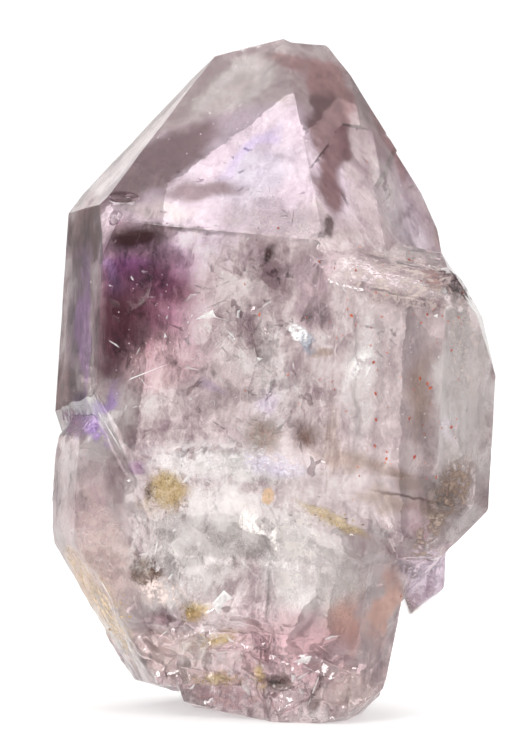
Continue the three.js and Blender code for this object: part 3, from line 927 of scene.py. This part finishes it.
veils_bm = bmesh.new()
veils_bm.loops.layers.uv.new("UVMap")
thickness_of_haze = veils_bm.verts.layers.float.new("haze")
for n, (name, middle, deep, half, lean, heavy_haze) in enumerate(VEILS):
    made = bmesh.ops.create_grid(
        veils_bm, x_segments=28, y_segments=28, size=1, calc_uvs=True
    )["verts"]
    lie = Euler((pi / 2 + lean[0], lean[1], lean[2] + FRONT_AZIMUTH)).to_matrix()
    at = spot(*middle, deep)
    for v in made:
        bend = 0.5 * noise.noise(Vector((v.co.x * 1.3, v.co.y * 1.3, n * 5.1))) * min(half)
        flat = Vector((v.co.x * half[0], v.co.y * half[1], bend * 0.5))
        v.co = at + lie @ flat
        v[thickness_of_haze] = heavy_haze
veils = new_piece("healed_veils", veils_bm, gauze, smooth=True)
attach(veils, "root")

# Crack flakes: small angular cracks that lie open to the light, their white shine painted on as
# painted glints, and a few thin dark ones. Each is flat and angular, without thickness, and
# fainter along one side.
ON_THE_SKIN = 0.02
SHARE_ON_THE_SKIN = 0.4
BRIGHTEST = 0.95

# what, place across and up, half long and wide, turn in degrees, white (1) or dark (0)
FLAKES_SEEN = [
    ("leaf", -4.6, 23.5, 1.25, 0.42, 15, 1), ("leaf_edge", -5.1, 24.0, 1.1, 0.08, 25, 0),
    ("glint", 0.0, 22.9, 0.32, 0.22, 60, 1), ("glint_two", -0.7, 22.7, 0.3, 0.1, 30, 1),
    ("long_crack", -9.2, 19.7, 2.0, 0.06, 24, 1),
    ("long_crack_two", -10.2, 21.6, 1.1, 0.05, -31, 1),
    ("strip", -10.9, 17.5, 1.6, 0.1, -52, 1), ("strip_two", -9.8, 15.9, 1.5, 0.07, -56, 1),
    ("dark_bit", -1.75, 27.5, 0.5, 0.22, 70, 0), ("dark_bit_two", -2.1, 26.6, 0.4, 0.12, 30, 0),
    ("dark_line", -1.0, 27.6, 0.8, 0.05, 85, 0), ("dark_line_two", -2.8, 23.6, 0.9, 0.05, -65, 0),
    ("dark_line_three", -2.2, 22.0, 1.1, 0.04, -72, 0),
    ("dark_line_four", -1.4, 20.6, 0.6, 0.04, -50, 0),
    ("dark_hook", -0.9, 29.8, 0.5, 0.05, -35, 0), ("dark_hook_two", -0.4, 29.2, 0.6, 0.04, 85, 0),
    ("black_bit", 0.4, 12.3, 0.25, 0.12, -40, 0), ("ledge_chip", 1.6, 12.8, 0.9, 0.25, -35, 1),
    ("foot_chip", 1.9, 4.1, 1.3, 0.4, -12, 1), ("foot_block", -3.0, 7.2, 1.1, 0.6, 20, 1),
    ("foot_chip_two", -1.2, 4.8, 0.8, 0.2, 25, 1), ("foot_line", 2.2, 2.2, 1.1, 0.05, 72, 1),
    ("ring_low", -7.8, 9.7, 0.5, 0.08, 20, 1), ("ring_side", -7.2, 10.2, 0.5, 0.08, 80, 1),
    ("white_streak", -6.4, 5.2, 0.7, 0.1, 40, 1), ("ridge_line", -10.3, 7.8, 2.6, 0.06, -55, 1),
    ("right_glint", 4.9, 22.6, 0.2, 0.08, 60, 1), ("right_glint_two", 8.2, 24.2, 0.2, 0.12, 0, 1),
    ("right_glint_three", 4.4, 20.9, 0.4, 0.12, 75, 1), ("tip_chip", -9.0, 31.0, 0.4, 0.1, -20, 0),
    ("maroon_cell", -8.8, 24.2, 0.42, 0.3, 10, 0), ("maroon_cell_two", -10.3, 23.9, 0.5, 0.34, -30, 0),
    ("maroon_cell_three", -10.1, 23.1, 0.45, 0.26, -20, 0),
    ("maroon_cell_four", -9.4, 24.7, 0.3, 0.14, 20, 0),
    ("maroon_cell_five", -10.8, 21.5, 0.4, 0.5, 10, 0), ("edge_shadow", -12.1, 12.7, 2.2, 0.07, 88, 0),
]
# where, how many, middle across and up, half size, longest, share that is white
FLAKES_STREWN = [
    ("shoulder", 120, (-8.0, 23.0), (2.6, 4.4), 0.45, 0.8),
    ("middle", 190, (-3.2, 23.0), (3.4, 4.8), 0.6, 0.8),
    ("low_middle", 80, (-3.0, 17.4), (3.6, 2.0), 0.45, 0.85),
    ("ledge", 60, (-3.0, 13.6), (4.2, 1.4), 0.6, 0.85),
    ("lower_left", 110, (-6.6, 9.6), (3.2, 3.8), 0.5, 0.85),
    ("stem", 24, (2.0, 9.0), (3.0, 3.4), 0.3, 0.85),
    ("foot", 100, (-1.2, 3.8), (5.2, 2.4), 1.0, 0.8),
    ("right_top", 120, (5.0, 26.2), (3.0, 1.6), 0.4, 0.8),
    ("tip_foot", 60, (-1.6, 30.0), (2.8, 1.4), 0.4, 0.6),
    ("right_tip", 60, (4.6, 30.6), (2.6, 3.0), 0.5, 0.6),
]


def flake(bm, place, long, wide, turn, shine, clear, seed):
    """An angular flake; the haze value runs from thick at one side to thin at the other."""
    made = bmesh.ops.create_circle(bm, cap_ends=True, segments=5, radius=1)["verts"]
    for v in made:
        jag = 1 + 0.8 * (noise.cell(v.co * 3 + Vector((seed, 0, 0))) - 0.5)
        v[clear] = shine * (0.35 + 0.65 * (v.co.y * 0.5 + 0.5))
        v.co = place + turn @ Vector((v.co.x * long * jag, v.co.y * wide * jag, 0))


def flake_material(name, tint):
    made = new_material(name, Roughness=0.3)
    tree = made.node_tree
    scratches = cloudy(tree, crystal_millimetres(tree), 5.0, 3.0)
    scratched = band(tree, scratches, 0.4, 0.65, 1.0)
    held = node(tree, "Attribute", attribute_name="haze").outputs["Fac"]
    duller = tuple(0.75 * c for c in tint)
    dress(made, Base_Color=mixed(tree, scratched, tint, duller), Alpha=held)
    return made


# the white set is painted glints of the cracks; the dark set is thin dark cracks
for dark, name, tint in (
    (0, "painted_glint_flakes", (1.0, 0.99, 0.98)), (1, "dark_flakes", (0.10, 0.05, 0.06))
):
    bm = bmesh.new()
    clear = bm.verts.layers.float.new("haze")
    scatter = random.Random(71 + dark)
    for n, (what, x, z, long, wide, turn, white) in enumerate(FLAKES_SEEN):
        if white == dark:
            continue
        lie = Euler((radians(90), 0, FRONT_AZIMUTH)).to_matrix()
        spin = Matrix.Rotation(radians(turn), 3, "Z")
        at = spot(x, z, -ON_THE_SKIN)
        flake(bm, at, long, wide, lie @ spin, BRIGHTEST, clear, n * 2.3)
    for region, count, middle, half, longest, share in FLAKES_STREWN:
        for n in range(count):
            x, z = strewn_place(scatter, middle, half, 0.55, 1.2)
            is_dark = scatter.random() > share
            if is_dark != bool(dark):
                continue
            long = longest * (0.15 + 0.85 * scatter.random() ** 2.5)
            wide = long * scatter.uniform(0.06, 0.4)
            spin = Matrix.Rotation(scatter.uniform(0, pi), 3, "Z")
            if scatter.random() < SHARE_ON_THE_SKIN:
                tilt, deep = 5, -ON_THE_SKIN
            else:
                tilt, deep = 35, 0.1 + 0.9 * scatter.random() ** 2
            lean = Euler((radians(90 + scatter.gauss(0, tilt)), radians(scatter.gauss(0, tilt)), 0))
            lie = Matrix.Rotation(FRONT_AZIMUTH, 3, "Z") @ lean.to_matrix()
            shine = scatter.uniform(0.15, 0.85)
            if on_quartz(x, z):
                flake(bm, spot(x, z, deep), long, wide, lie @ spin, shine, clear, n * 1.9)
    flakes = new_piece(name, bm, flake_material(name.replace("_", " "), tint))
    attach(flakes, "root")

# Red-brown iron specks: flat grains of hematite sealed at the faces as they grew, most of them
# in the right half.
SPECKS_SEEN = [
    (3.4, 26.6), (6.5, 27.4), (7.6, 24.3), (9.4, 24.2), (9.1, 22.3), (4.7, 21.4), (4.9, 19.6),
    (7.4, 20.6), (7.8, 20.3), (8.0, 20.1), (6.9, 18.3), (5.0, 18.1), (9.3, 17.9), (5.0, 16.6),
    (7.3, 16.1), (5.7, 15.9), (-2.0, 23.8), (-1.2, 28.8), (1.3, 27.0), (3.3, 24.0), (8.6, 15.0),
]
SPECKS_STREWN = 90
RUST_DARK = (0.34, 0.04, 0.02)
RUST_LIGHT = (0.62, 0.14, 0.05)

rust = new_material("hematite", Roughness=0.35)
tree = rust.node_tree
blotch = band(tree, cloudy(tree, crystal_millimetres(tree), 3.0), 0.4, 0.6, 1.0)
dress(rust, Base_Color=mixed(tree, blotch, RUST_DARK, RUST_LIGHT))

specks_bm = bmesh.new()


def grain_of(bm, place, long, wide, thick, turn, seed):
    """One small irregular grain."""
    made = bmesh.ops.create_icosphere(bm, subdivisions=1, radius=1)["verts"]
    settle = Matrix.Translation(place) @ turn.to_matrix().to_4x4()
    for v in made:
        lump = 1 + 0.5 * noise.noise(v.co * 2 + Vector((seed, 0, 0)))
        v.co = settle @ Vector((v.co.x * long * lump, v.co.y * thick * lump, v.co.z * wide * lump))


strewn = [(chance.gauss(5.5, 3.2), chance.gauss(20.5, 4.5)) for _ in range(SPECKS_STREWN)]
for n, (x, z) in enumerate(SPECKS_SEEN + strewn):
    x = max(-10, min(9.6, x))
    z = max(8, min(34, z))
    seen_well = n < len(SPECKS_SEEN)
    deep = chance.uniform(-0.02, 0.01)
    size = chance.uniform(0.1, 0.16) if seen_well else chance.uniform(0.045, 0.085)
    turn = Euler((chance.gauss(0, 0.4), chance.uniform(0, pi), chance.gauss(0, 0.4)))
    if on_quartz(x, z):
        grain_of(specks_bm, spot(x, z, deep), size, size * 0.6, size * 0.3, turn, n * 1.7)
specks = new_piece("iron_specks", specks_bm, rust)
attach(specks, "root")

# Clay: ochre grains caught in one lobed hollow, along the ledge and in the cracks of the foot.
CLAY_LIES = [
    (44, (-6.75, 13.4), (0.8, 0.9)), (40, (2.9, 12.2), (1.6, 0.35)), (24, (-5.0, 6.4), (0.6, 0.4)),
    (30, (-3.6, 4.9), (1.1, 0.3)), (24, (-3.4, 2.6), (1.1, 0.25)), (12, (-0.9, 2.9), (0.2, 0.6)),
    (34, (-9.6, 6.2), (0.8, 1.6)), (16, (-7.8, 13.2), (0.3, 0.4)),
]
CLAY_DARK = (0.42, 0.27, 0.07)
CLAY_LIGHT = (0.80, 0.62, 0.28)

clay = new_material("ochre clay", Roughness=0.9)
tree = clay.node_tree
lumps = cloudy(tree, crystal_millimetres(tree), 4.0, 4.0)
dull = node(tree, "Bump", Strength=0.6, Distance=0.02 * MM, Height=lumps)
ground = mixed(tree, band(tree, lumps, 0.4, 0.6, 1.0), CLAY_DARK, CLAY_LIGHT)
dress(clay, Base_Color=ground, Normal=dull.outputs[0])

clay_bm = bmesh.new()
for count, middle, half in CLAY_LIES:
    for n in range(count):
        x, z = strewn_place(chance, middle, half, 0.5, 1.3)
        deep = chance.uniform(0.0, 0.3)
        size = chance.uniform(0.04, 0.11)
        turn = Euler((chance.gauss(0, 0.5), chance.uniform(0, pi), chance.gauss(0, 0.5)))
        if on_quartz(x, z):
            grain_of(clay_bm, spot(x, z, deep), size, size * 0.8, size * 0.4, turn, n)
clay_grains = new_piece("clay_grains", clay_bm, clay)
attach(clay_grains, "root")

# Films in the skin of the quartz, thin and uneven: clay and iron dried in hollows, the white
# haze of fine cracks, dark bloom, and painted glints, painted glow and painted shade. Each
# follows the surface.
# what, place across and up, half size, turn in degrees, colour, thickness
FILMS = [
    ("crazed top", 6.2, 26.0, 5.8, 2.4, -8, (0.56, 0.46, 0.45), 1.0),
    ("notch", 7.9, 26.4, 1.1, 0.8, -20, (0.26, 0.14, 0.13), 1.4),
    ("white veil", -3.9, 15.3, 6.4, 1.6, 2, (0.94, 0.89, 0.91), 0.8),
    ("lilac veil", -0.7, 15.2, 2.8, 0.9, -6, (0.80, 0.75, 0.90), 0.9),
    ("grey-green patch", -1.5, 16.9, 1.5, 1.6, 0, (0.30, 0.26, 0.24), 1.0),
    # painted glow: a pale film where light shines through the stem
    ("stem glow", 0.9, 10.4, 2.4, 5.4, 2, (0.90, 0.84, 0.82), 0.6),
    ("lower left", -10.6, 9.8, 3.0, 5.4, 16, (0.70, 0.55, 0.53), 0.6),
    ("left edge", -10.9, 6.4, 5.4, 2.0, -56, (0.72, 0.56, 0.40), 1.2),
    ("small crystal", 8.6, 9.6, 2.2, 2.2, 0, (0.72, 0.60, 0.70), 1.0),
    ("small crystal, low", 8.5, 7.6, 1.8, 1.6, 0, (0.50, 0.37, 0.46), 1.2),
    ("clay hollow", -6.75, 13.4, 1.7, 1.7, 0, (0.42, 0.29, 0.13), 1.1),
    ("brown spot", -7.75, 8.65, 1.2, 1.0, 0, (0.10, 0.05, 0.035), 3.0),
    ("smoky corner", 9.6, 14.3, 1.4, 2.6, -20, (0.20, 0.13, 0.10), 1.6),
    ("under the left face", -12.8, 16.9, 1.6, 1.0, 10, (0.24, 0.15, 0.22), 2.0),
    ("violet ribbon", -11.2, 16.6, 1.6, 0.6, -42, (0.42, 0.28, 0.58), 1.2),
    # painted glow: a pale film below the brown spot where light shines through
    ("peach glow", -6.9, 7.5, 1.8, 1.1, -10, (0.92, 0.75, 0.71), 1.3),
    ("crazed foot of the tip", -1.2, 29.0, 4.2, 1.0, -6, (0.50, 0.42, 0.45), 0.8),
    # painted shade over the step: a dull film that hides the bright band there
    ("dull step", 6.8, 26.2, 4.6, 1.7, -10, (0.50, 0.41, 0.40), 0.9),
    ("rosy foot", -2.6, 1.6, 3.0, 1.4, 0, (0.46, 0.28, 0.30), 0.9),
    # painted highlight: a white glint beside the slate lens
    ("glint beside the lens", 0.3, 22.85, 0.8, 0.55, -35, (0.98, 0.97, 0.98), 3.0),
    ("slate lens", 0.9, 22.3, 0.55, 0.9, 20, (0.36, 0.38, 0.45), 1.6),
    # painted highlight: a glint on the right crystal
    ("glint on the right crystal", 3.9, 21.2, 0.8, 1.5, -30, (0.92, 0.90, 0.90), 1.0),
    ("pale right face", 9.9, 22.6, 1.6, 5.0, 0, (0.62, 0.54, 0.52), 0.6),
    ("smoky corner, low", 8.4, 11.7, 1.1, 2.2, -30, (0.27, 0.19, 0.16), 1.3),
    ("ledge", 2.9, 12.2, 2.6, 0.6, -24, (0.56, 0.43, 0.26), 1.0),
    ("low one", -5.0, 6.4, 1.0, 0.8, 0, (0.38, 0.24, 0.10), 1.2),
    ("low two", -3.6, 4.9, 2.2, 0.6, 15, (0.58, 0.44, 0.24), 0.8),
    ("low three", -3.4, 2.6, 2.2, 0.5, 0, (0.58, 0.44, 0.24), 0.8),
    ("low four", -0.9, 2.9, 0.5, 1.2, 15, (0.50, 0.36, 0.16), 0.9),
]
DRY_CLAY = (0.78, 0.66, 0.56)

wash = new_material("stain wash", Roughness=0.8)
tree = wash.node_tree
patchy = shaken(tree, crystal_millimetres(tree), 0.4, 1.4)
uneven = cloudy(tree, patchy, 1.6, 4.0, Roughness=0.75)
hue = node(tree, "Attribute", attribute_name="stain")
paler = mixed(tree, band(tree, uneven, 0.5, 0.7, 0.35), hue.outputs["Color"], DRY_CLAY)
held = band(tree, uneven, 0.38, 0.62, 0.9)
alpha = maths(tree, "MULTIPLY", hue.outputs["Alpha"], held, use_clamp=True)
dress(wash, Base_Color=paler, Alpha=alpha)

films_bm = bmesh.new()
stain = films_bm.verts.layers.float_color.new("stain")
for name, x, z, wide, high, turn, colour, thick in FILMS:
    made = bmesh.ops.create_grid(films_bm, x_segments=18, y_segments=18, size=1)["verts"]
    lost = []
    turned = Matrix.Rotation(radians(turn), 2)
    for v in made:
        fade = 1 - smooth_between(0.3, 1.0, v.co.xy.length)
        v[stain] = (*colour, thick * fade)
        across, up = Vector((x, z)) + turned @ Vector((v.co.x * wide, v.co.y * high))
        if on_quartz(across, up):
            v.co = spot(across, up, -ON_THE_SKIN)
        else:
            lost.append(v)
    bmesh.ops.delete(films_bm, geom=lost, context="VERTS")
films = new_piece("stain_films", films_bm, wash, smooth=True)
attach(films, "root")

# Dust: a few pale grains that cling to the faces, as they do on any specimen.
DUST_LIES = [
    (40, (-3.4, 33.0), (3.6, 3.0)), (24, (-8.8, 23.4), (2.2, 4.6)), (40, (5.4, 21.0), (4.6, 7.0)),
]
DUST_GREY = (0.8, 0.76, 0.72)

lint = new_material("pale dust", Roughness=0.8)
tree = lint.node_tree
lightness = cloudy(tree, crystal_millimetres(tree), 1.5)
dress(lint, Base_Color=mixed(tree, lightness, DUST_GREY, (1, 1, 1)))

dust_bm = bmesh.new()
for count, middle, half in DUST_LIES:
    for n in range(count):
        x, z = strewn_place(chance, middle, half, 0.6, 1.4)
        size = chance.uniform(0.018, 0.035)
        turn = Euler((chance.uniform(0, pi), chance.uniform(0, pi), 0))
        if on_quartz(x, z):
            grain_of(dust_bm, spot(x, z, -0.01), size, size, size, turn, n)
dust = new_piece("dust_grains", dust_bm, lint)
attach(dust, "root")

low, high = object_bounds()
